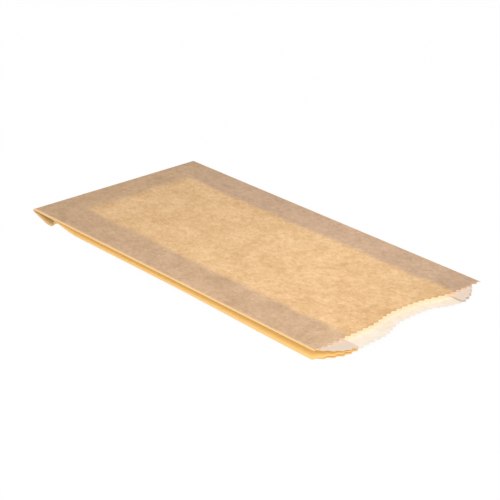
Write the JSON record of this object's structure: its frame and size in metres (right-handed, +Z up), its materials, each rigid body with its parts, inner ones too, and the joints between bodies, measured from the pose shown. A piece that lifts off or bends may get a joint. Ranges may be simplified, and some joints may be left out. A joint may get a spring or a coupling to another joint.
{
  "type": "hot food paper bag",
  "caption": "Flat side-gusseted kraft paper bag with a folded closed end, a serrated mouth, a lip and a thumb notch.",
  "frame": {"origin": "centre of the bag's outline, on the surface that it lies on", "axes": "+Z up, square to the surface, with the front panel facing up, -Y towards the open mouth, +Y towards the closed end, X across the width"},
  "size_m": [0.12, 0.2477, 0.0056],
  "materials": {
    "kraft_paper": "matt brown kraft outside, white inside"
  },
  "bodies": {
    "root": {"paper_bag": "kraft_paper"}
  },
  "joints": []
}
